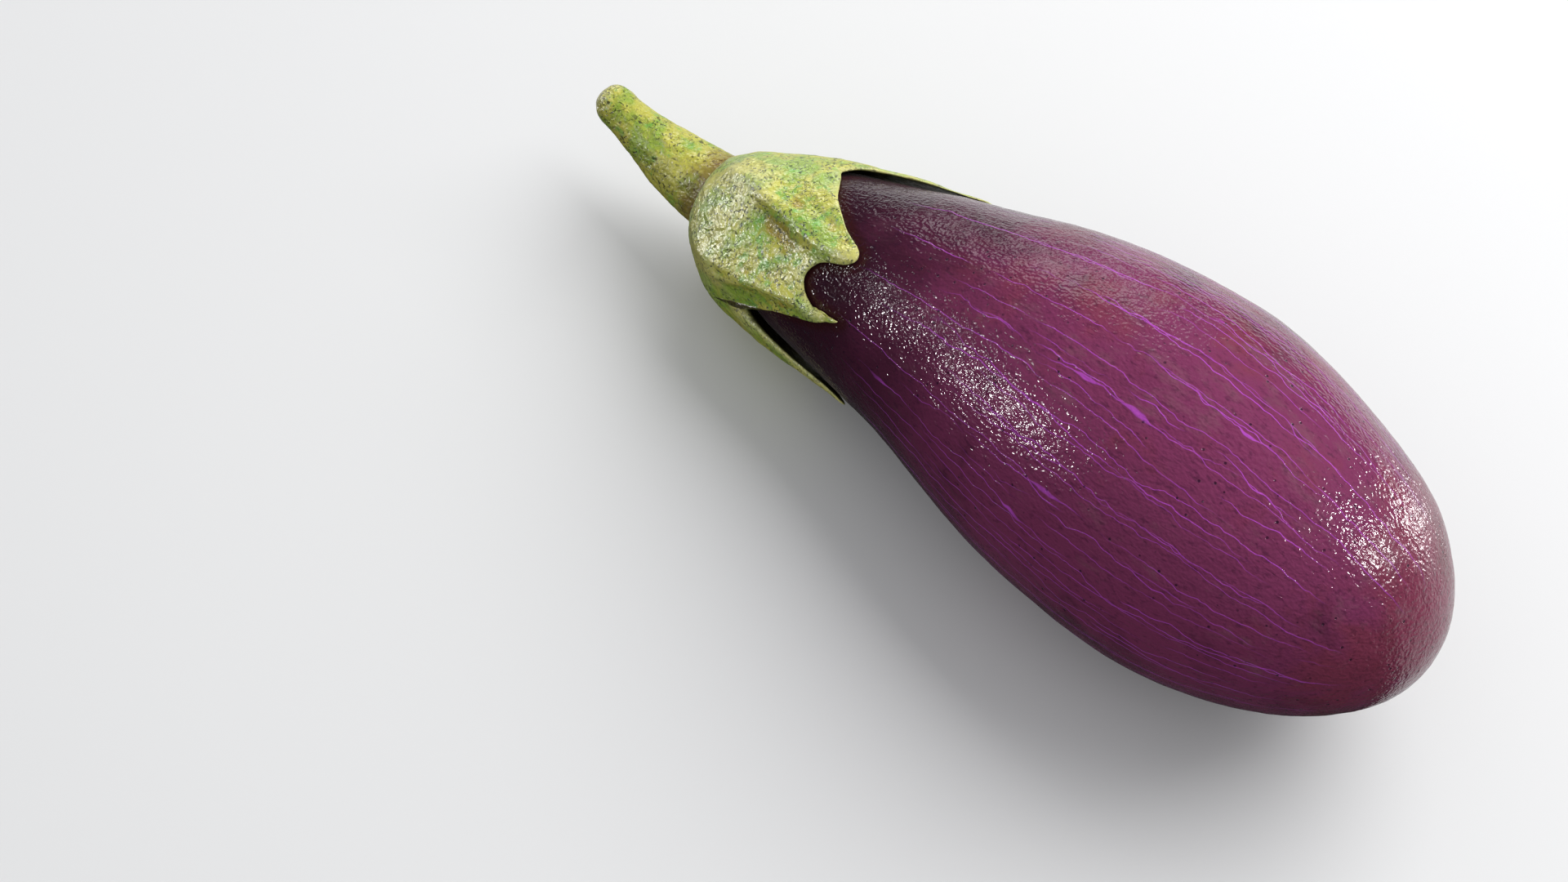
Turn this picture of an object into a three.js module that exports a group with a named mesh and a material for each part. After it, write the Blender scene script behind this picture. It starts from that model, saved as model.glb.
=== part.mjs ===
import * as THREE from 'three';

// An eggplant lying on its side: a glossy purple berry, the green calyx that hoods its neck,
// and the short cut stalk. Millimetres, +X towards the blossom end, +Z up, and the origin on
// the surface it lies on, within the small flat spot that carries its weight.

// Driving dimensions of the berry
const bodyRadius = 40;          // at the widest section
const neckEnd = -110.6;         // where the berry ends inside the calyx
const blossomEnd = 75.5;
const restFlatDepth = 0.7;      // how far the lying side is pressed flat
const swell = 0.006;            // slow unevenness of the skin, as a share of the radius

// Driving dimensions of the calyx
const hoodLip = -118.8;         // where the hood turns in to meet the stalk
const skinGap = 0.4;            // free space between calyx and berry
const socketRadius = 10.1;      // the dimple that holds the foot of the stalk
const socketFloor = -115.4;

// Driving dimensions of the stalk
const jointGap = 0.4;           // free space between stalk and calyx
const tipRadius = 5;

// Fineness of the surfaces
const berryRings = 38;
const berrySides = 48;
const calyxRows = 10;
const rimStepsPerPoint = 3;
const stalkRings = 20;
const stalkSides = 24;

const radians = THREE.MathUtils.degToRad;
const { lerp, smoothstep } = THREE.MathUtils;

// Half of the berry's outline, from the neck to the blossom end: place along X, then radius
const berryOutline = [
  [neckEnd, 0], [-109.4, 6], [-106, 10.8], [-101, 14.8], [-95, 18.2], [-88, 20.5], [-80, 22.2],
  [-70, 24.5], [-60, 26.9], [-50, 29.2], [-40, 32.3], [-28, 35.6], [-16, 37.9], [-4, 39.4],
  [8, bodyRadius], [22, 39], [36, 36], [49, 31.5], [60, 25.6], [69, 17.3], [74, 9], [blossomEnd, 0],
];

// Half of the calyx's outline in its valleys, from the lip to beyond the longest sepal
const hoodOutline = [
  [hoodLip, socketRadius + 0.5], [-117.6, 12.4], [-114.6, 15.6], [-110, 18.3], [-103, 20.8], [-96, 22.1],
  [-88, 22.6], [-80, 23.6], [-70, 25.65], [-60, 27.95], [-50, 30.4], [-40, 33.4],
];

// The middle of the body from stalk to blossom end, in the upright plane: X, then height.
// The neck droops, so only the wide part touches the surface below.
const middleLine = [
  [-135, 22.4], [-121, 23.3], [-107, 24.4], [-98, 26.1], [-89, 28.2], [-75, 31.3], [-55, 35.3],
  [-36, 37.7], [-18, 39.1], [0, 40], [40, 41.4], [80, 41.6],
];
// How far the middle sways to the side of +Y: X, then sway
const sway = [
  [-135, 0], [-90, 0], [-62, 0.2], [-45, 0.7], [-28, 0.6], [-8, 0.1], [10, -0.3], [26, -1.1],
  [42, -1.4], [60, -0.8], [80, -1.2],
];

// The edge of the calyx seen from the stalk, once round: angle in degrees, then place along X.
// 90 degrees is on top, 180 on the side of -Y. Each sepal runs from one notch to the next.
const calyxEdge = [
  // the long sepal on the side of +Y, from its upper notch downwards
  [65, -86.6], [56, -83.5], [49, -77], [43, -69.5], [36, -63.5], [30, -59], [26.5, -57.6],
  [22.5, -59], [16, -65], [7, -73], [-3, -81], [-12, -87.5],
  // the sepal underneath, with its bent tip
  [-22, -91], [-32, -86.5], [-42, -78], [-50, -69], [-55, -62.5], [-60, -59], [-65, -59.2],
  [-64.5, -62], [-66, -68], [-73, -77], [-84, -86],
  // the long sepal on the side of -Y
  [-98, -92], [-113, -88], [-127, -80], [-139, -71.5], [-147, -65.5], [-152, -62.5], [-156, -64],
  [-160, -70], [-164.5, -78], [-170, -87],
  // the hooked sepal
  [-179.5, -96], [-187.5, -88.3], [-196, -81], [-203.5, -75.2], [-206.6, -71.2], [-207, -68.6],
  [-208.5, -65.8], [-212.5, -63.2], [-215, -62.9], [-215, -64.2], [-211.8, -66.2], [-210.6, -68.2],
  [-212.3, -70.6], [-216.2, -73.8],
  // the blunt sepal on top
  [-223.4, -75.5], [-229.5, -74.7], [-234.5, -72.8], [-236.6, -70], [-238.7, -66.8],
  [-242, -65], [-245.5, -64.9], [-248.7, -66.3], [-254.3, -71.3], [-261.2, -75.2], [-269.4, -79.4],
  [-279, -82.2],
];

// Where each sepal's midrib starts on the shoulder of the hood and where it ends, how far it
// stands out, and how far its blade stands off the berry between notch and tip
const sepals = [
  { name: 'far', from: 8, to: 27, tipX: -57.6, rib: 1.6, standOff: 1, halfWidth: 44 },
  { name: 'under', from: -57, to: -61, tipX: -59, rib: 1.9, standOff: 1.2, halfWidth: 36 },
  { name: 'near', from: -150, to: -153, tipX: -62.5, rib: 1.9, standOff: 1.3, halfWidth: 32 },
  { name: 'hooked', from: -201, to: -211, tipX: -67, rib: 2.8, standOff: 0.1, halfWidth: 26 },
  { name: 'blunt', from: -258, to: -246, tipX: -65.5, rib: 2.5, standOff: 0.1, halfWidth: 30 },
];
const ribShoulder = -112;       // midribs begin here
const ribWidth = 3.1;
const crestRounding = 0.25;     // how blunt a midrib's crest is, as a share of its width
const hollows = [
  { angle: -236, x: -86, depth: 1.1, spreadAngle: 10, spreadX: 8 },
  { angle: -180, x: -104, depth: 0.5, spreadAngle: 10, spreadX: 8 },
  { angle: -105, x: -104, depth: 0.8, spreadAngle: 16, spreadX: 9 },
  { angle: -30, x: -104, depth: 0.8, spreadAngle: 14, spreadX: 9 },
  { angle: 42, x: -107, depth: 2.4, spreadAngle: 36, spreadX: 17 },
];

// The middle of the stalk: X, then height, from its foot in the calyx to the cut end
const stalkLine = [
  [-124, 23.1], [-132.3, 23.6], [-140.4, 25], [-148.5, 27.4], [-156.2, 30.4],
];
// Radius of the stalk at equal steps from foot to cut end, before the end is rounded off
const stalkRadii = [9.6, 9.5, 9.1, 8.5, 7.7, 6.8, 5.8, 5.15, 5, 5.05];

function splineThrough(points) {
  return new THREE.CatmullRomCurve3(points.map(([x, y]) => new THREE.Vector3(x, y, 0)));
}

// A closed outline mirrored on the axis, so that its ends are round. Half of it is used.
function mirroredOutline(points) {
  const back = points.slice(1, -1).reverse().map(([x, radius]) => [x, -radius]);
  const curve = splineThrough([...points, ...back]);
  curve.closed = true;
  curve.arcLengthDivisions = 1200;
  return curve;
}

const berryCurve = mirroredOutline(berryOutline);
const hoodCurve = splineThrough(hoodOutline);
hoodCurve.arcLengthDivisions = 600;

const berryAt = (share) => berryCurve.getPointAt(share / 2);
const hoodAt = (share) => hoodCurve.getPointAt(share);

// The share of a curve at which it reaches a place along X
function shareAtX(at, x) {
  let low = 0;
  let high = 1;
  for (let step = 0; step < 30; step += 1) {
    const middle = (low + high) / 2;
    if (at(middle).x < x) low = middle;
    else high = middle;
  }
  return (low + high) / 2;
}

// A curve's heights at every millimetre along X, for quick reading
function sampled(points) {
  const curve = splineThrough(points);
  const start = points[0][0];
  const steps = points[points.length - 1][0] - start;
  const values = Array.from({ length: steps + 1 }, (_, index) => (
    curve.getPoint(shareAtX((share) => curve.getPoint(share), start + index)).y
  ));
  return (x) => {
    const place = THREE.MathUtils.clamp(x - start, 0, steps - 0.001);
    const index = Math.floor(place);
    return lerp(values[index], values[index + 1], place - index);
  };
}

const middleHeight = sampled(middleLine);
const swayAt = sampled(sway);
const heightAt = (x) => middleHeight(x) - restFlatDepth;

// A point at a radius and angle round the drooping middle line
function roundMiddle(x, radius, angle) {
  const slope = (heightAt(x + 2) - heightAt(x - 2)) / 4;
  const length = Math.hypot(1, slope);
  const across = Math.cos(radians(angle)) * radius;
  const up = Math.sin(radians(angle)) * radius;
  return new THREE.Vector3(x - (up * slope) / length, swayAt(x) + across, heightAt(x) + up / length);
}

// The slow unevenness of the berry, as a factor on its radius
function unevenness(x, angle) {
  const turn = radians(angle);
  const lobes = Math.sin(3 * turn + x * 0.021) + 0.7 * Math.sin(2 * turn - 1 - x * 0.014);
  const fade = smoothstep(x, -95, -40);
  return 1 + swell * lobes * fade;
}

// A point on the berry, or standing off it by a height
function onBerry(share, angle, height = 0) {
  const point = berryAt(share);
  const step = 0.002;
  const before = berryAt(Math.max(0, share - step));
  const after = berryAt(Math.min(1, share + step));
  const along = after.sub(before).normalize();
  const out = unevenness(point.x, angle);
  return roundMiddle(point.x - along.y * height, point.y * out + along.x * height, angle);
}

// One closed body from a first pole, rings of equal count, and a last pole
function closedBody(firstPole, rings, lastPole) {
  const sides = rings[0].length;
  const points = [firstPole, ...rings.flat(), lastPole];
  const last = points.length - 1;
  const faces = [];
  for (let side = 0; side < sides; side += 1) {
    const next = (side + 1) % sides;
    faces.push(0, 1 + next, 1 + side);
    for (let ring = 0; ring < rings.length - 1; ring += 1) {
      const here = 1 + ring * sides;
      const beyond = here + sides;
      faces.push(here + side, here + next, beyond + next, here + side, beyond + next, beyond + side);
    }
    const end = 1 + (rings.length - 1) * sides;
    faces.push(end + side, end + next, last);
  }
  const geometry = new THREE.BufferGeometry();
  const numbers = points.flatMap((point) => [point.x, point.y, point.z]);
  geometry.setAttribute('position', new THREE.Float32BufferAttribute(numbers, 3));
  geometry.setIndex(faces);
  geometry.computeVertexNormals();
  return geometry;
}

function namedMesh(name, geometry, color, roughness) {
  const material = new THREE.MeshStandardMaterial({ color, roughness, metalness: 0 });
  const mesh = new THREE.Mesh(geometry, material);
  mesh.name = name;
  return mesh;
}

// The berry, pressed flat where it lies
function makeFruit() {
  const ring = (share) => Array.from({ length: berrySides }, (_, side) => {
    const point = onBerry(share, -90 + (360 * side) / berrySides);
    return point.setZ(Math.max(point.z, 0));
  });
  const rings = Array.from({ length: berryRings - 1 }, (_, index) => {
    const even = (index + 1) / berryRings;
    return ring(even - 0.035 * Math.sin(2 * Math.PI * even));
  });
  return closedBody(onBerry(0, 0), rings, onBerry(1, 0));
}

// The calyx
const wrap = (angle) => THREE.MathUtils.euclideanModulo(angle + 180, 360) - 180;

// How a sepal's midrib raises the outside of the hood: a crest with hollow flanks
function ribHeight(sepal, x, angle) {
  const along = THREE.MathUtils.clamp((x - ribShoulder) / (sepal.tipX - ribShoulder), 0, 1);
  const middle = lerp(sepal.from, sepal.to, smoothstep(along, 0, 1));
  const distance = radians(wrap(angle - middle)) * 24;
  const width = lerp(ribWidth * 1.5, ribWidth * 0.55, along);
  const rise = smoothstep(x, hoodLip, ribShoulder + 8) * lerp(1, 0.1, along ** 1.4);
  const flank = Math.hypot(distance / width, crestRounding) - crestRounding;
  return sepal.rib * rise * Math.exp(-flank);
}

// How far a sepal's blade stands off the berry, the same inside and outside
function standOff(sepal, x, angle) {
  const middle = lerp(sepal.from, sepal.to, 0.6);
  const side = Math.abs(wrap(angle - middle)) / sepal.halfWidth;
  const sideways = 1 - smoothstep(side, 0.75, 1.1);
  const start = smoothstep(x, -100, -88);
  const end = 1 - smoothstep(x, sepal.tipX - 19, sepal.tipX - 3);
  return sepal.standOff * sideways * start * end;
}

const total = (list, measure) => list.reduce((sum, item) => sum + measure(item), 0);

function hollowDepth(hollow, x, angle) {
  const aside = wrap(angle - hollow.angle) / hollow.spreadAngle;
  const along = (x - hollow.x) / hollow.spreadX;
  return hollow.depth * Math.exp(-aside * aside - along * along);
}

function makeCalyx() {
  const first = calyxEdge[0];
  const edgeCurve = new THREE.CatmullRomCurve3(
    [...calyxEdge, [first[0] - 360, first[1]]].map(([angle, x]) => new THREE.Vector3(angle, x, 0)),
    false,
    'centripetal',
  );
  const count = calyxEdge.length * rimStepsPerPoint;
  // Each column of the surface starts evenly spaced round the crown and ends on the edge
  const columns = Array.from({ length: count }, (_, index) => {
    const { x: edgeAngle, y: edgeX } = edgeCurve.getPoint(index / count);
    return { crownAngle: first[0] - (360 * index) / count, edgeAngle, edgeX };
  }).reverse();

  const outerRows = [];
  const innerRows = [];
  for (let row = 1; row <= calyxRows; row += 1) {
    const reach = row / calyxRows;
    const angleOf = (column) => lerp(column.crownAngle, column.edgeAngle, reach ** 1.3);
    outerRows.push(columns.map((column) => {
      const angle = angleOf(column);
      const place = hoodAt(shareAtX(hoodAt, column.edgeX) * reach);
      const raised = total(sepals, (sepal) => ribHeight(sepal, place.x, angle));
      const clear = total(sepals, (sepal) => standOff(sepal, place.x, angle));
      const sunk = total(hollows, (hollow) => hollowDepth(hollow, place.x, angle));
      return roundMiddle(place.x, place.y + raised + clear - sunk, angle);
    }));
    innerRows.push(columns.map((column) => {
      const angle = angleOf(column);
      const share = shareAtX(berryAt, column.edgeX) * reach;
      const clear = total(sepals, (sepal) => standOff(sepal, berryAt(share).x, angle));
      return onBerry(share, angle, skinGap + clear);
    }));
  }
  const circle = (x, radius) => columns.map((column) => roundMiddle(x, radius, column.crownAngle));
  const rings = [
    circle(socketFloor, socketRadius - 0.3),
    circle(hoodLip + 0.3, socketRadius),
    circle(hoodLip, socketRadius + 0.5),
    ...outerRows,
    ...innerRows.reverse(),
  ];
  return closedBody(roundMiddle(socketFloor, 0, 0), rings, onBerry(0, 0, skinGap));
}

function makeStalk() {
  const footX = socketFloor - jointGap;
  const places = [[footX, middleHeight(footX)], ...stalkLine];
  const centre = new THREE.CatmullRomCurve3(
    places.map(([x, height]) => new THREE.Vector3(x, 0, height - restFlatDepth)),
  );
  const lastRadius = stalkRadii.length - 1;
  const radii = splineThrough(stalkRadii.map((radius, index) => [index / lastRadius, radius]));
  const ring = (share, radius) => {
    const middle = centre.getPointAt(share);
    const along = centre.getTangentAt(share);
    const up = new THREE.Vector3(0, 1, 0).cross(along).normalize();
    return Array.from({ length: stalkSides }, (_, side) => {
      const turn = (-2 * Math.PI * side) / stalkSides;
      return middle.clone()
        .addScaledVector(up, Math.sin(turn) * radius)
        .add(new THREE.Vector3(0, Math.cos(turn) * radius, 0));
    });
  };
  const rounding = tipRadius / centre.getLength();
  const rings = Array.from({ length: stalkRings }, (_, index) => {
    const share = Math.sin(((index / stalkRings) * Math.PI) / 2) * (1 - 0.004);
    const intoTip = Math.max(0, share - (1 - rounding)) / rounding;
    return ring(share, radii.getPoint(share).y * Math.sqrt(1 - intoTip ** 2));
  });
  return closedBody(centre.getPointAt(0), rings, centre.getPointAt(1));
}

const group = new THREE.Group();
group.add(namedMesh('fruit', makeFruit(), 0x4a1c3c, 0.28));
group.add(namedMesh('calyx', makeCalyx(), 0x9aa648, 0.6));
group.add(namedMesh('stalk', makeStalk(), 0x9c9f48, 0.65));

export default group;
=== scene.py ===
import math

import bmesh
import bpy
import numpy as np
from mathutils import Matrix, Vector, noise
from mathutils.bvhtree import BVHTree


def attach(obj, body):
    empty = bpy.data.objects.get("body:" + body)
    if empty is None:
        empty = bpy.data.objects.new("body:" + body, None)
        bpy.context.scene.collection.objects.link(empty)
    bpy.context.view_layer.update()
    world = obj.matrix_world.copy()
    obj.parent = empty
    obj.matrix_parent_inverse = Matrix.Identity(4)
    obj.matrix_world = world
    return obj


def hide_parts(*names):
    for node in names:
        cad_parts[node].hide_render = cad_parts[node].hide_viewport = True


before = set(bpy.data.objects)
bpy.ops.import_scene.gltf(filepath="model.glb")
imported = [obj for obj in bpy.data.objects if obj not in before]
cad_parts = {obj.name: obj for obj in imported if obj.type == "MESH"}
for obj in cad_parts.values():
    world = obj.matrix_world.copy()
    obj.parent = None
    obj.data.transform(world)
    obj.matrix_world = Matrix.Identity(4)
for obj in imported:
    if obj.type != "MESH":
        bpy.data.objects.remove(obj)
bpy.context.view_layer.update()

# Camera. It looks down on the fruit from the front, held a little askew, far enough
# away for the stalk and the blossom end both to be in view.
camera_place = Vector((0.092887, -0.251304, 0.474559))
camera_aim = Vector((-0.299751, 0.402568, -0.864921))
camera_up = Vector((-0.578464, 0.644243, 0.500331))
camera_lens = 54
film_width = 36
nearest_seen = 0.01

camera = bpy.data.objects.new("camera", bpy.data.cameras.new("camera"))
camera.data.lens = camera_lens
camera.data.sensor_width = film_width
camera.data.clip_start = nearest_seen
camera_right = camera_aim.cross(camera_up).normalized()
camera_axes = Matrix((camera_right, camera_right.cross(camera_aim), -camera_aim)).transposed()
camera.matrix_world = Matrix.Translation(camera_place) @ camera_axes.to_4x4()
bpy.context.scene.collection.objects.link(camera)
bpy.context.scene.camera = camera


# Table and light. Two matt white boards, side by side, lie under a big soft lamp behind
# the fruit, with small bright softboxes that only the skin mirrors. The pale walls grow
# dim towards the ground, and only the far board is mirrored, so the near side stays dark.
board_reach = 6.0
board_paint = (0.8, 0.8, 0.8, 1)
wall_light = (0.97, 0.98, 1.0, 1)
wall_strength = 0.55
ground_strength = 0.2
wall_foot = -0.25
wall_top = 0.3
softbox_distance = 1.0

board_finish = bpy.data.materials.new("board")
board_finish.use_nodes = True
board_shader = board_finish.node_tree.nodes["Principled BSDF"]
board_shader.inputs["Base Color"].default_value = board_paint
board_shader.inputs["Roughness"].default_value = 1.0
board_shader.inputs["Specular IOR Level"].default_value = 0.0
for name, side, mirrored in (("near_board", -1, False), ("far_board", 1, True)):
    outer = side * board_reach
    corners = [(-board_reach, 0, 0), (board_reach, 0, 0), (board_reach, outer, 0), (-board_reach, outer, 0)]
    board_mesh = bpy.data.meshes.new(name)
    board_mesh.from_pydata(corners, [], [(0, 1, 2, 3)])
    board_mesh.materials.append(board_finish)
    board = bpy.data.objects.new(name, board_mesh)
    board.visible_diffuse = False
    board.visible_glossy = mirrored
    bpy.context.scene.collection.objects.link(board)

walls = bpy.data.worlds.new("walls")
bpy.context.scene.world = walls
walls.use_nodes = True
walls.cycles_visibility.glossy = False
wall_nodes = walls.node_tree.nodes
wall_nodes["Background"].inputs["Color"].default_value = wall_light
direction = wall_nodes.new("ShaderNodeTexCoord")
height_share = wall_nodes.new("ShaderNodeSeparateXYZ")
strength = wall_nodes.new("ShaderNodeMapRange")
strength.inputs["From Min"].default_value = wall_foot
strength.inputs["From Max"].default_value = wall_top
strength.inputs["To Min"].default_value = ground_strength
strength.inputs["To Max"].default_value = wall_strength
walls.node_tree.links.new(direction.outputs["Generated"], height_share.inputs["Vector"])
walls.node_tree.links.new(height_share.outputs["Z"], strength.inputs["Value"])
walls.node_tree.links.new(strength.outputs["Result"], wall_nodes["Background"].inputs["Strength"])
bpy.context.scene.view_settings.view_transform = "Standard"


def lamp(name, turn, rise, away, width, height, watts):
    """A soft lamp, at a turn from +X and a rise above the table, that faces the fruit."""
    turn, rise = math.radians(turn), math.radians(rise)
    towards = Vector((math.cos(turn) * math.cos(rise), math.sin(turn) * math.cos(rise), math.sin(rise)))
    light = bpy.data.lights.new(name, "AREA")
    light.shape = "RECTANGLE"
    light.size = width
    light.size_y = height
    light.energy = watts
    placed = bpy.data.objects.new(name, light)
    facing = towards.to_track_quat("Z", "Y").to_matrix().to_4x4()
    placed.matrix_world = Matrix.Translation(towards * away) @ facing
    bpy.context.scene.collection.objects.link(placed)
    return placed


def softbox(name, turn, rise, width, height, watts):
    """A small lamp that lights nothing and is only mirrored."""
    placed = lamp(name, turn, rise, softbox_distance, width, height, watts)
    placed.visible_diffuse = False
    return placed


key_lamp = lamp("key_lamp", turn=80, rise=52, away=1.1, width=1.2, height=1.0, watts=12.2)
key_lamp.visible_glossy = False
softbox("right_softbox", turn=27, rise=41, width=0.16, height=0.1, watts=5)
softbox("low_softbox", turn=60, rise=6, width=0.26, height=0.12, watts=3.8)
softbox("left_softbox", turn=-135, rise=25, width=0.12, height=0.05, watts=3.1)
softbox("neck_softbox", turn=-158, rise=23, width=0.07, height=0.05, watts=0.4)
softbox("back_softbox", turn=130, rise=26, width=0.5, height=0.3, watts=1.3)
crown_lamps = [
    softbox("crown_softbox", turn=-165, rise=1, width=0.24, height=0.14, watts=11),
    softbox("rim_softbox", turn=142, rise=18, width=0.3, height=0.2, watts=3),
]


# Calyx. The green leafy cap that hoods the neck: five sepals grown together at the crown,
# with raised midribs, thin edges and a leathery skin that has cracked finely as it dried.
# It is a fine copy of its solid, and its sizes, like all those below, are in millimetres.
MM = 0.001


def dye(red, green, blue):
    """A colour given as it looks on a screen, from 0 to 255, as light."""
    shares = [value / 255 for value in (red, green, blue)]
    return tuple(((v + 0.055) / 1.055) ** 2.4 if v > 0.04045 else v / 12.92 for v in shares) + (1,)


leaf_lime = dye(202, 200, 82)
leaf_green = dye(134, 178, 54)
leaf_fresh = dye(108, 186, 76)
leaf_tan = dye(182, 144, 42)
leaf_pale_and_sheen = dye(232, 226, 160)
leaf_shade = dye(22, 46, 30)
leaf_under_shade = dye(62, 56, 24)

# The lumps each have a height, a size and a seed.
calyx_lumps = [(0.30, 7.5, 3.1), (0.16, 3.2, 8.4), (0.09, 1.3, 5)]
deepest_lump = 0.3
# The paths over the crown go by their place along X and their angle round the middle line
# of the fruit. The ridges and dents that follow one each have a height and a reach.
crown_girth = 24.0
crown_ridges = [
    (0.8, 1.6, [(-103, 174), (-98, 168), (-94, 163), (-89, 157.5), (-80, 154), (-71, 153)]),
    (1.1, 1.9, [(-99, 112), (-92, 115), (-84, 119), (-79, 120), (-73, 119)]),
    (-0.4, 2.2, [(-96, 120), (-92, 124), (-88, 127), (-83, 130)]),
    (-0.4, 2.4, [(-98, 106), (-88, 104), (-76, 109)]),
]
# The hooked sepal's tip is drawn in towards this line, and so grows slim and pointed.
hook_path = [(-72, 150.8), (-69, 151), (-66, 150.2), (-64, 146.5), (-62.8, 144)]
hook_reach = (4.0, 2.2)
hook_start = (-72, -68.5)
hook_pull = 0.55
# The crown's dimple, round the stalk, has no thin edge, so it has no pale rim either.
dimple_end = (-112, -104)


def refined(node, name, levels):
    """A merged copy of a solid, with its facets rounded away, as a new piece."""
    work = bmesh.new()
    work.from_mesh(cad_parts[node].data)
    bmesh.ops.remove_doubles(work, verts=work.verts, dist=0.01 * MM)
    flattest, squarest = math.radians(50), math.radians(65)
    bmesh.ops.join_triangles(
        work, faces=work.faces, angle_face_threshold=flattest, angle_shape_threshold=squarest
    )
    work.verts.index_update()
    corners = [vertex.co.copy() for vertex in work.verts]
    faces = [[vertex.index for vertex in face.verts] for face in work.faces]
    work.free()
    rough = bpy.data.meshes.new(name)
    rough.from_pydata(corners, [], faces)
    piece = bpy.data.objects.new(name, rough)
    bpy.context.scene.collection.objects.link(piece)
    rounding = piece.modifiers.new("rounding", "SUBSURF")
    rounding.levels = levels
    rounding.render_levels = levels
    fine = bpy.data.meshes.new_from_object(piece.evaluated_get(bpy.context.evaluated_depsgraph_get()))
    piece.modifiers.remove(rounding)
    piece.data = fine
    return piece


def points_of(mesh):
    """The points of a mesh in millimetres, one row each."""
    values = np.empty(len(mesh.vertices) * 3)
    mesh.vertices.foreach_get("co", values)
    return values.reshape(-1, 3) / MM


def normals_of(mesh):
    """The way that the surface faces at each point, one row each."""
    values = np.empty(len(mesh.vertices) * 3)
    mesh.vertex_normals.foreach_get("vector", values)
    return values.reshape(-1, 3)


def move_points(mesh, points):
    """Puts the points of a mesh where these rows, in millimetres, say."""
    mesh.vertices.foreach_set("co", (points * MM).ravel())
    mesh.update()


def note(mesh, name, values):
    """Keeps a number for each point of a mesh, for its finish to read."""
    mesh.attributes.new(name, "FLOAT", "POINT").data.foreach_set("value", np.asarray(values, float))


def lumpy(points, layers):
    """Smooth random heights at points. Each layer has its height, its size and its seed."""
    heights = 0
    for height, size, seed in layers:
        shift = Vector((seed, seed * 1.7, -seed))
        heights += height * np.array([noise.noise(Vector(point) / size + shift) for point in points])
    return heights


def ease(values, low, high):
    """0 below low, 1 above high and smooth between, or the other way round if low is the larger."""
    share = np.clip((np.asarray(values, float) - low) / (high - low), 0, 1)
    return share * share * (3 - 2 * share)


def blurred(mesh, values, times):
    """A number for each point, evened out with its neighbours a number of times."""
    edges = np.empty(len(mesh.edges) * 2, int)
    mesh.edges.foreach_get("vertices", edges)
    first, second = edges.reshape(-1, 2).T
    point_count = len(values)
    count = np.bincount(first, minlength=point_count) + np.bincount(second, minlength=point_count) + 1.0
    for _ in range(times):
        spread = np.bincount(first, values[second], point_count)
        spread += np.bincount(second, values[first], point_count)
        values = (values + spread) / count
    return values


def hollowness(mesh, reach):
    """How far each point lies in a hollow, over 0, or on a ridge, under 0, in millimetres."""
    points = points_of(mesh)
    around = np.column_stack([blurred(mesh, points[:, axis], reach) for axis in range(3)])
    return ((around - points) * normals_of(mesh)).sum(1)


# The middle line of the fruit is a smooth curve through the middles of its slices.
slice_gap = 5.0
slice_half = 4
fruit_points = points_of(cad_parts["fruit"].data)
stations = np.arange(-100, 66, slice_gap)
slices = [fruit_points[np.abs(fruit_points[:, 0] - x) < slice_half] for x in stations]
middles = np.array([(cut.max(0) + cut.min(0)) / 2 for cut in slices])
middle_y, middle_z = [np.polyfit(stations, middles[:, axis], 5) for axis in (1, 2)]


def from_middle(points):
    """Where points lie round the middle line of the fruit: sideways, upwards."""
    x = np.clip(points[:, 0], stations[0], stations[-1])
    return points[:, 1] - np.polyval(middle_y, x), points[:, 2] - np.polyval(middle_z, x)


def way_to_path(points, path):
    """The shortest way over the crown to a path on it: along X and round the middle line."""
    aside, above = from_middle(points)
    flat = np.column_stack([points[:, 0], np.arctan2(above, aside) * crown_girth])
    way = np.full(flat.shape, np.inf)
    line = [np.array([x, math.radians(angle) * crown_girth]) for x, angle in path]
    for start, end in zip(line, line[1:]):
        share = np.clip((flat - start) @ (end - start) / ((end - start) @ (end - start)), 0, 1)
        step = start + share[:, None] * (end - start) - flat
        closer = np.hypot(*step.T) < np.hypot(*way.T)
        way[closer] = step[closer]
    return way


calyx = refined("calyx", "calyx_leaf", levels=2)
calyx_points = points_of(calyx.data)
calyx_normals = normals_of(calyx.data)

hook_way = way_to_path(calyx_points, hook_path)
hook_share = ease(np.hypot(*hook_way.T), *hook_reach) * ease(calyx_points[:, 0], *hook_start) * hook_pull
aside, above = from_middle(calyx_points)
round_step = hook_share * hook_way[:, 1] / np.hypot(aside, above)
calyx_points += np.column_stack([hook_share * hook_way[:, 0], -above * round_step, aside * round_step])

aside, above = from_middle(calyx_points)
outward = (calyx_normals[:, 1] * aside + calyx_normals[:, 2] * above) / np.hypot(aside, above)
inside = blurred(calyx.data, (outward < 0).astype(float), 2)
outside = 1 - ease(inside, 0.1, 0.6)
edge_share = blurred(calyx.data, inside, 10)
rim = 1 - ease(np.abs(edge_share - 0.5), 0.2, 0.42)
rim *= ease(calyx_points[:, 0], *dimple_end)

lumps = np.maximum(lumpy(calyx_points, calyx_lumps), -deepest_lump)
for height, reach, path in crown_ridges:
    nearness = np.exp(-((np.hypot(*way_to_path(calyx_points, path).T) / reach) ** 2))
    lumps += height * nearness * (1 - rim)
move_points(calyx.data, calyx_points + calyx_normals * (lumps * outside)[:, None])
note(calyx.data, "hollow", hollowness(calyx.data, 40))
note(calyx.data, "inside", blurred(calyx.data, (outward < -0.5).astype(float), 1))
note(calyx.data, "edge", rim)


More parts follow.
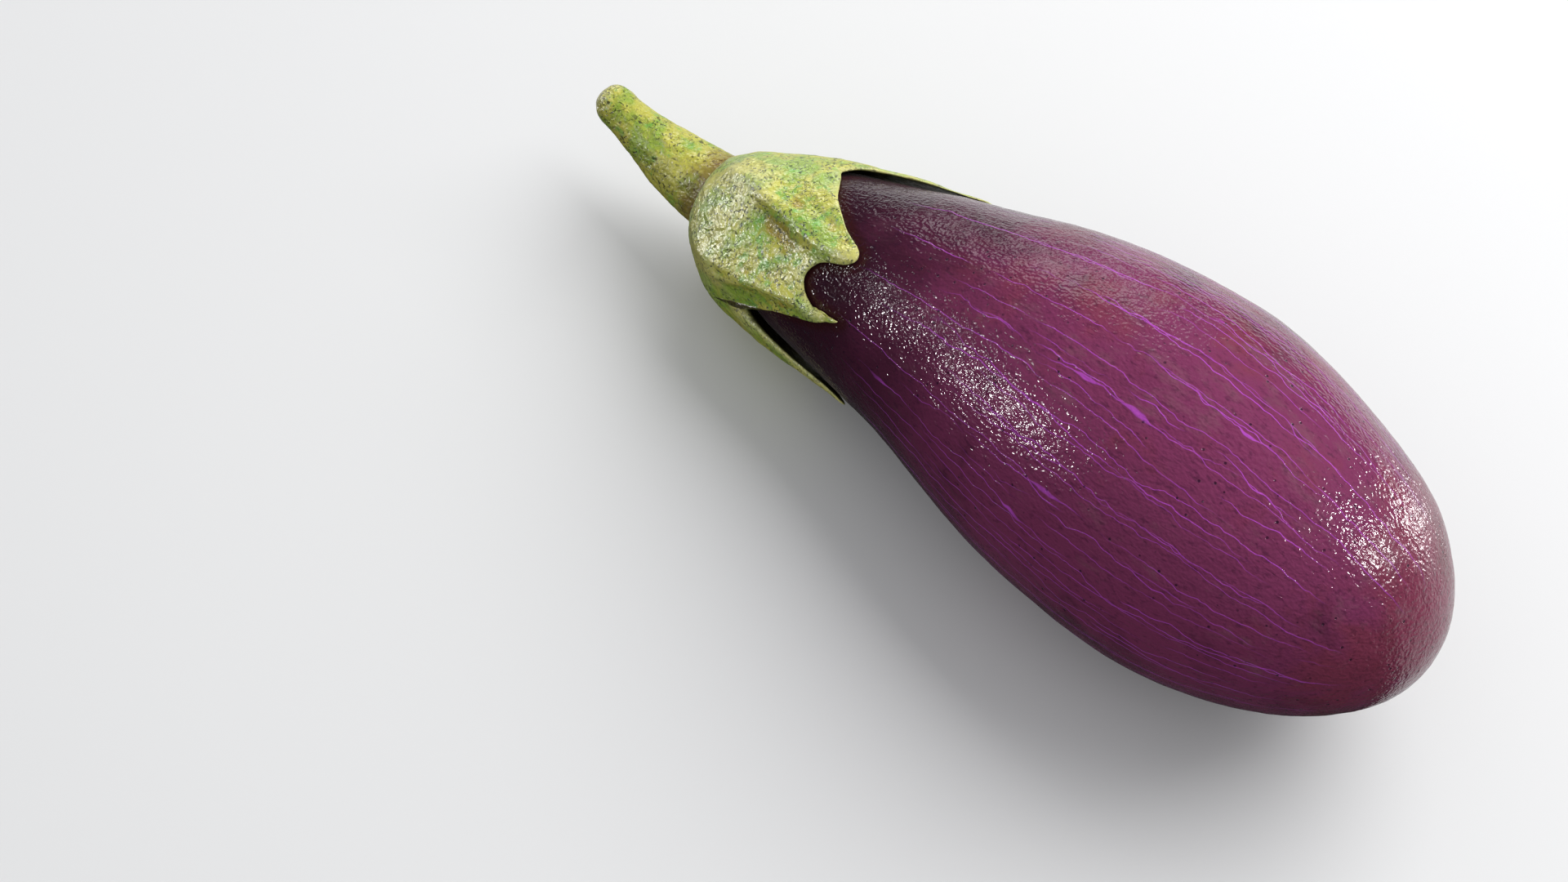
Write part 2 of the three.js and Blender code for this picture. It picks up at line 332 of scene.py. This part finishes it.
class Amount:
    """A number or vector that varies over a surface, written as a sum or product of others."""

    def __init__(self, finish, socket):
        self.finish = finish
        self.socket = socket

    def through(self, operation, *others):
        """The result of a Math node's operation on this number and any others."""
        values = dict(enumerate([self, *others]))
        return self.finish.node("Math", {"operation": operation}, values)

    def __add__(self, other):
        return self.through("ADD", other)

    def __sub__(self, other):
        return self.through("SUBTRACT", other)

    def __rsub__(self, other):
        return self.finish.node("Math", {"operation": "SUBTRACT"}, {0: other, 1: self})

    def __mul__(self, other):
        return self.through("MULTIPLY", other)

    def __truediv__(self, other):
        return self.through("DIVIDE", other)

    __radd__ = __add__
    __rmul__ = __mul__

    def held(self, low, high):
        """The same number, but never outside low and high."""
        return self.through("MAXIMUM", low).through("MINIMUM", high)

    def risen(self, low, high):
        """0 below low, 1 above high and smooth between."""
        limits = {"Value": self, "From Min": low, "From Max": high}
        return self.finish.node("MapRange", {"interpolation_type": "SMOOTHSTEP"}, limits)


class Finish:
    """A material for a grown surface: its nodes, and one shader at the end."""

    def __init__(self, name):
        self.material = bpy.data.materials.new(name)
        self.material.use_nodes = True
        self.tree = self.material.node_tree
        self.tree.nodes.clear()
        place = self.node("TexCoord", output="Object")
        self.place = self.node("VectorMath", {"operation": "SCALE"}, {0: place, "Scale": 1 / MM})

    def node(self, kind, settings=None, sockets=None, output=0):
        """One node: its settings are made first, then the values or links of its sockets."""
        made = self.tree.nodes.new("ShaderNode" + kind)
        for name, value in (settings or {}).items():
            setattr(made, name, value)
        for name, value in (sockets or {}).items():
            if isinstance(value, Amount):
                self.tree.links.new(value.socket, made.inputs[name])
            else:
                made.inputs[name].default_value = value
        return Amount(self, made.outputs[output])

    def noted(self, name):
        """A number kept on the mesh."""
        return self.node("Attribute", {"attribute_name": name}, output="Fac")

    def grain(self, vector, size, detail=2.0, roughness=0.5, distortion=0.0, output=0):
        """Soft random patches of a size in millimetres, from 0 to 1."""
        sockets = {"Vector": vector, "Scale": 1 / size, "Detail": detail}
        sockets.update({"Roughness": roughness, "Distortion": distortion})
        return self.node("TexNoise", None, sockets, output)

    def cells(self, vector, size, feature="F1"):
        """The distance to the middle, or to the edge, of random cells of a size in millimetres."""
        sockets = {"Vector": vector, "Scale": 1 / size}
        return self.node("TexVoronoi", {"feature": feature}, sockets, "Distance")

    def triple(self, x, y, z):
        """A vector from three numbers."""
        return self.node("CombineXYZ", None, {0: x, 1: y, 2: z})

    def part(self, vector, axis):
        """One of the three numbers of a vector or colour."""
        return self.node("SeparateXYZ", None, {0: vector}, axis)

    def mixed(self, first, second, share):
        """One colour over another, by a share from 0 to 1."""
        return self.node("Mix", {"data_type": "RGBA"}, {0: share, 6: first, 7: second}, 2)

    def shine(self, colour, roughness, height, **constants):
        """The surface shader. The height is in millimetres, and the constants are its other sockets."""
        relief = self.node("Bump", None, {"Height": height, "Distance": MM, "Strength": 1.0}, "Normal")
        sockets = {"Base Color": colour, "Roughness": roughness, "Normal": relief}
        sockets.update({name.replace("_", " "): value for name, value in constants.items()})
        surface = self.node("BsdfPrincipled", None, sockets, "BSDF")
        result = self.tree.nodes.new("ShaderNodeOutputMaterial")
        self.tree.links.new(surface.socket, result.inputs["Surface"])


def green_skin(name, freshness):
    """The finish of the green parts, which is fresher or drier from piece to piece, with pale flecks that
    are painted glints and a painted sheen on its ridges.
    """
    skin = Finish(name)
    hollow = skin.noted("hollow")
    patches = skin.grain(skin.place, size=8, detail=3, roughness=0.6)
    blotches = skin.grain(skin.place, size=3.4, detail=3, roughness=0.6, output="Color")
    fresh_blotches = skin.part(blotches, 0)
    dry_blotches = skin.part(blotches, 1)
    flecks = skin.grain(skin.place, size=0.5, detail=3, roughness=0.6)
    colour = skin.mixed(leaf_lime, leaf_green, (patches + freshness).risen(0.42, 0.6) * 0.75)
    fresh_share = (fresh_blotches + hollow * 0.3 + freshness).risen(0.5, 0.66)
    colour = skin.mixed(colour, leaf_fresh, fresh_share * 0.7)
    colour = skin.mixed(colour, leaf_tan, (hollow * 1.4 + dry_blotches).risen(0.6, 0.95) * 0.7)
    # Paler on the ridges: a painted sheen.
    colour = skin.mixed(colour, leaf_pale_and_sheen, (hollow * -1.0).risen(0.12, 0.5) * 0.3)

    bend = (1.8, 1.8, 1.8)
    shift = skin.grain(skin.place, size=2, detail=2, output="Color")
    warped = skin.node("VectorMath", {"operation": "MULTIPLY_ADD"}, {0: shift, 1: bend, 2: skin.place})
    cracks = 1 - skin.cells(warped, size=2.2, feature="DISTANCE_TO_EDGE").risen(0.012, 0.05)
    cracked = cracks * skin.grain(skin.place, size=6, detail=2).risen(0.46, 0.62)
    crowding = skin.grain(skin.place, size=4.5, detail=2).risen(0.34, 0.56)
    specks = skin.grain(warped, size=0.8, detail=2).risen(0.57, 0.63) * crowding
    dots = (1 - skin.cells(skin.place, size=1.7).risen(0.1, 0.17)) * crowding
    marks = (cracked * 0.4 + specks * 0.8 + dots).held(0, 0.85)
    colour = skin.mixed(colour, leaf_shade, marks)
    # Pale flecks: painted glints, small painted highlights on the leaf.
    colour = skin.mixed(colour, leaf_pale_and_sheen, flecks.risen(0.54, 0.7) * 0.35)

    pits = skin.grain(skin.place, size=0.8, detail=1, roughness=0.4) * 0.17
    swells = skin.grain(skin.place, size=1.9, detail=2, roughness=0.5) * 0.8
    return skin, colour, pits + swells - cracked * 0.06 - specks * 0.1


def shown(piece, finish, node):
    """Gives a piece its finish, smooth shading and its place in the frame."""
    piece.data.materials.clear()
    piece.data.materials.append(finish.material)
    piece.data.polygons.foreach_set("use_smooth", [True] * len(piece.data.polygons))
    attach(piece, "root")
    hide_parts(node)


calyx_finish, calyx_colour, calyx_height = green_skin("calyx_leaf", freshness=0.0)
calyx_colour = calyx_finish.mixed(calyx_colour, leaf_pale_and_sheen, calyx_finish.noted("edge") * 0.35)
# The sepals' inner faces, turned towards the fruit, are darkened with a painted shade.
calyx_colour = calyx_finish.mixed(calyx_colour, leaf_under_shade, calyx_finish.noted("inside") * 0.9)
calyx_roughness = calyx_finish.grain(calyx_finish.place, size=2.5, detail=2) * 0.2 + 0.28
calyx_finish.shine(calyx_colour, calyx_roughness, calyx_height, Specular_IOR_Level=0.5)
shown(calyx, calyx_finish, "calyx")


# Stalk. The cut stem, thick where it leaves the crown, slim and rounded at its dried end,
# with shallow folds along it. It has grown into the dimple of the calyx, and the soft
# crown lamps are for these two green pieces alone.
stalk_brown = dye(122, 86, 44)
stalk_white = dye(212, 210, 176)
stalk_foot = -122.0
stalk_end = -156.0
stalk_free = (-116, -120)
fold_stretch = np.array([0.28, 1, 1])
stalk_folds = [(0.30, 3.4, 2.2)]
stalk_lumps = [(0.16, 2.8, 7.7), (0.07, 1.1, 4)]

stalk = refined("stalk", "stalk_stem", levels=3)
stalk_points = points_of(stalk.data)
folds = lumpy(stalk_points * fold_stretch, stalk_folds) + lumpy(stalk_points, stalk_lumps)
free_part = ease(stalk_points[:, 0], *stalk_free)
move_points(stalk.data, stalk_points + normals_of(stalk.data) * (folds * free_part)[:, None])
note(stalk.data, "hollow", hollowness(stalk.data, 30))

stalk_finish, stalk_colour, stalk_height = green_skin("stalk_stem", freshness=-0.04)
stalk_smudge = stalk_finish.grain(stalk_finish.place, size=3, detail=3, roughness=0.6) * 9
stalk_x = stalk_finish.part(stalk_finish.place, 0) + stalk_smudge
foot_share = stalk_x.risen(stalk_foot - 1, stalk_foot + 7)
stalk_colour = stalk_finish.mixed(stalk_colour, stalk_brown, foot_share * 0.65 + 0.12)
tip_share = 1 - stalk_x.risen(stalk_end + 3, stalk_end + 9)
stalk_colour = stalk_finish.mixed(stalk_colour, stalk_white, tip_share * 0.5)
stalk_roughness = stalk_finish.grain(stalk_finish.place, size=2.5, detail=2) * 0.24 + 0.26
stalk_finish.shine(stalk_colour, stalk_roughness, stalk_height, Specular_IOR_Level=0.3)
shown(stalk, stalk_finish, "stalk")

green_pieces = bpy.data.collections.new("green_pieces")
green_pieces.objects.link(calyx)
green_pieces.objects.link(stalk)
for crown_lamp in crown_lamps:
    crown_lamp.light_linking.receiver_collection = green_pieces


# Fruit. The berry's waxy purple skin, near black at the neck and redder at the blossom
# end, with painted shade on its underside and under the calyx rim, greyish patches that
# are partly bloom and partly painted sheen, fine leathery creases and pale violet veins
# that wander from end to end.
# Its grid of rings follows the middle line, so that the pattern can follow the skin.
wine = dye(126, 55, 92)
deep_wine_shade = dye(84, 38, 60)
neck_dark_and_shade = dye(40, 18, 28)
rust = dye(130, 54, 64)
rose_grey_bloom_and_sheen = dye(128, 86, 98)
vein_violet = dye(190, 82, 204)
pore_dark = dye(36, 18, 40)
collar_brown_and_shade = dye(58, 24, 22)

ring_count = 300
side_count = 308
spine_start = -94.0
spine_end = 45.0
neck_share = 0.11
blossom_share = 0.26
neck_arc = 18.0
blossom_arc = 33.0
skin_swells = [(0.30, 23, 1.3), (0.035, 1.7, 6.1)]
skin_creases = [(0.10, 6, 9.2), (0.06, 2.6, 4.4)]
crease_stretch = 0.6
grain_stretch = 0.45
free_skin_gap = (0.9, 4.5)
collar_gap = (3.4, 1.0)

fruit = refined("fruit", "fruit_skin", levels=3)
fruit_tree = BVHTree.FromObject(fruit, bpy.context.evaluated_depsgraph_get())
calyx_tree = BVHTree.FromObject(calyx, bpy.context.evaluated_depsgraph_get())

# Past either end of the spine the rings lean over, until the last ones close on a point.
shares = np.linspace(0, 1, ring_count + 1)
lean = np.where(shares < neck_share, shares / neck_share - 1, 0)
lean = np.where(shares > 1 - blossom_share, (shares - 1) / blossom_share + 1, lean) * math.pi / 2
spine_share = np.clip((shares - neck_share) / (1 - neck_share - blossom_share), 0, 1)
spine_x = spine_start + (spine_end - spine_start) * spine_share
ring_place = spine_x + np.where(lean < 0, lean * neck_arc, lean * blossom_arc)
spine_y = np.polyval(middle_y, spine_x)
spine_z = np.polyval(middle_z, spine_x)
turns = math.tau * np.arange(side_count) / side_count - math.pi / 2


def skin_point(ring, turn):
    """The point of the fruit's surface seen from its spine, for one ring and turn."""
    start = Vector((spine_x[ring], spine_y[ring], spine_z[ring])) * MM
    level = math.cos(lean[ring])
    aim = Vector((math.sin(lean[ring]), level * math.cos(turn), level * math.sin(turn)))
    return fruit_tree.ray_cast(start, aim)[0]


skin_points = [skin_point(0, 0)]
skin_points += [skin_point(ring, turn) for ring in range(1, ring_count) for turn in turns]
skin_points += [skin_point(ring_count, 0)]
last_point = len(skin_points) - 1
last_ring = last_point - side_count
skin_faces = []
for side in range(side_count):
    beside = (side + 1) % side_count
    skin_faces.append((0, 1 + beside, 1 + side))
    skin_faces.append((last_ring + side, last_ring + beside, last_point))
    for ring in range(ring_count - 2):
        here = 1 + ring * side_count
        beyond = here + side_count
        skin_faces.append((here + side, here + beside, beyond + beside, beyond + side))
skin_mesh = bpy.data.meshes.new("fruit_skin")
skin_mesh.from_pydata(skin_points, [], skin_faces)
skin_mesh.update()
fruit.data = skin_mesh

skin_turn = np.concatenate([[0], np.tile(turns, ring_count - 1), [0]])
skin_along = np.concatenate([ring_place[:1], np.repeat(ring_place[1:-1], side_count), ring_place[-1:]])
skin_places = points_of(skin_mesh)
aside, above = from_middle(skin_places)
calyx_gap = np.array([calyx_tree.find_nearest(point)[3] for point in skin_points]) / MM
free_skin = ease(calyx_gap, *free_skin_gap)
unrolled = np.column_stack([aside, above, skin_along * crease_stretch])
creases = lumpy(skin_places, skin_swells) + lumpy(unrolled, skin_creases)
skin_places += normals_of(skin_mesh) * (creases * free_skin)[:, None]
skin_places[:, 2] = np.maximum(skin_places[:, 2], 0)
move_points(skin_mesh, skin_places)
note(skin_mesh, "cosine", np.cos(skin_turn))
note(skin_mesh, "sine", np.sin(skin_turn))
note(skin_mesh, "along", skin_along)
note(skin_mesh, "aside", aside)
note(skin_mesh, "above", above)
note(skin_mesh, "girth", np.hypot(aside, above))
note(skin_mesh, "collar", ease(calyx_gap, *collar_gap))

skin = Finish("fruit_skin")
along = skin.noted("along")
cosine = skin.noted("cosine")
sine = skin.noted("sine")
around = skin.triple(skin.noted("aside"), skin.noted("above"), along * grain_stretch)
turn = skin.node("Math", {"operation": "ARCTAN2"}, {0: cosine, 1: sine * -1.0})
cloud = skin.grain(skin.place, size=17, detail=4, roughness=0.6, distortion=0.4, output="Color")
patches = skin.grain(around, size=6, detail=4, roughness=0.65)
flecks = skin.grain(around, size=1.0, detail=3, roughness=0.6)

# Deeper wine in random clouds, with a painted shade that deepens it on the underside and the far side.
shaded = (skin.part(cloud, 0) - sine * 0.16 + cosine * 0.1).risen(0.38, 0.66)
colour = skin.mixed(wine, deep_wine_shade, shaded)
rusty = (skin.part(cloud, 1) + cosine * 0.13 + along.risen(42, 78) * 0.34 + sine * 0.03).risen(0.52, 0.74)
colour = skin.mixed(colour, rust, rusty * 0.5)
# Greyish-pink patches: partly the skin's waxy bloom, partly a painted sheen that is stronger on top and on
# the far side.
bloom_and_sheen = (patches + cosine * 0.05 + sine * 0.04).risen(0.54, 0.72)
colour = skin.mixed(colour, rose_grey_bloom_and_sheen, bloom_and_sheen * 0.42)
# Near black towards the neck, the skin's own tone; the dark reaches further on the underside as painted
# shade and less far on top.
beyond_neck = (along + skin.part(cloud, 2) * 40 + sine * 13).risen(-52, 16)
colour = skin.mixed(colour, neck_dark_and_shade, (1 - beyond_neck) * 0.92)
colour = skin.mixed(colour, pore_dark, (0.5 - flecks).risen(0.02, 0.2) * 0.35)


def veins(count, seed, strength):
    """One set of veins: each wanders in its own strip of skin, and fades in and out."""
    column = turn * (count / math.tau) + 0.5 * (count % 2)
    strip = column.through("FLOOR")
    draws = skin.node("TexWhiteNoise", {"noise_dimensions": "1D"}, {"W": strip + seed}, "Color")
    wander_place = skin.triple(along / 28, strip * 7.31 + seed, 0.0)
    wander = skin.grain(wander_place, size=1, detail=4.5, roughness=0.58)
    change_place = skin.triple(along / 22, strip * 3.7 + seed, 5.0)
    changes = skin.grain(change_place, size=1, detail=1, roughness=0.5, output="Color")
    kink_place = skin.triple(along / 7, strip * 5.13 + seed, 9.0)
    kinks = skin.grain(kink_place, size=1, detail=2, roughness=0.5)
    shift = (wander - 0.5) * 1.2 + (kinks - 0.5) * 0.34 + (skin.part(draws, 0) - 0.5) * 0.3
    aside_share = (column - strip - 0.5 - shift.held(-0.46, 0.46)).through("ABSOLUTE")
    off = aside_share * skin.noted("girth") * (math.tau / count)
    knots = skin.part(changes, 2).risen(0.69, 0.77)
    half_width = 0.02 + skin.part(changes, 0) * 0.16 + knots * 0.6
    line = 1 - off.risen(half_width * 0.55, half_width * 1.3)
    begin = -74 + skin.part(draws, 1) * 62
    end = 74 - skin.part(draws, 2) * 44
    lasting = along.risen(begin, begin + 16) * (1 - along.risen(end - 14, end))
    return line * lasting * skin.part(changes, 1).risen(0.33, 0.48) * strength


main_veins = veins(34, seed=3.0, strength=1.0)
side_veins = veins(27, seed=41.0, strength=0.95)
faint_veins = veins(41, seed=77.0, strength=0.75)
all_veins = main_veins.through("MAXIMUM", side_veins).through("MAXIMUM", faint_veins)
colour = skin.mixed(colour, vein_violet, all_veins * 0.86)

pore_spots = 1 - skin.cells(skin.place, size=2.6).risen(0.08, 0.15)
pores = pore_spots * skin.grain(skin.place, size=9, detail=2).risen(0.42, 0.58)
colour = skin.mixed(colour, pore_dark, pores * 0.8)
# A dark brown fringe where the calyx rim lies close over the skin: partly the skin's own brown, partly
# painted shade under the rim.
collar_fringe_and_shade = skin.noted("collar") * skin.grain(skin.place, size=0.7, detail=2).risen(0.25, 0.5)
colour = skin.mixed(colour, collar_brown_and_shade, collar_fringe_and_shade * 0.8)

leather = skin.grain(around, size=1.1, detail=1, roughness=0.4, distortion=0.8)
wrinkles = skin.grain(skin.place, size=0.7, detail=0.5, roughness=0.5)
height = leather * 0.2 + wrinkles * 0.16 + all_veins * 0.03 - pores * 0.08
roughness = skin.grain(skin.place, size=5, detail=3) * 0.14 + 0.06 + rusty * 0.08
skin.shine(colour, roughness, height, Specular_IOR_Level=0.4, Sheen_Weight=0.12, Sheen_Roughness=0.35)
shown(fruit, skin, "fruit")
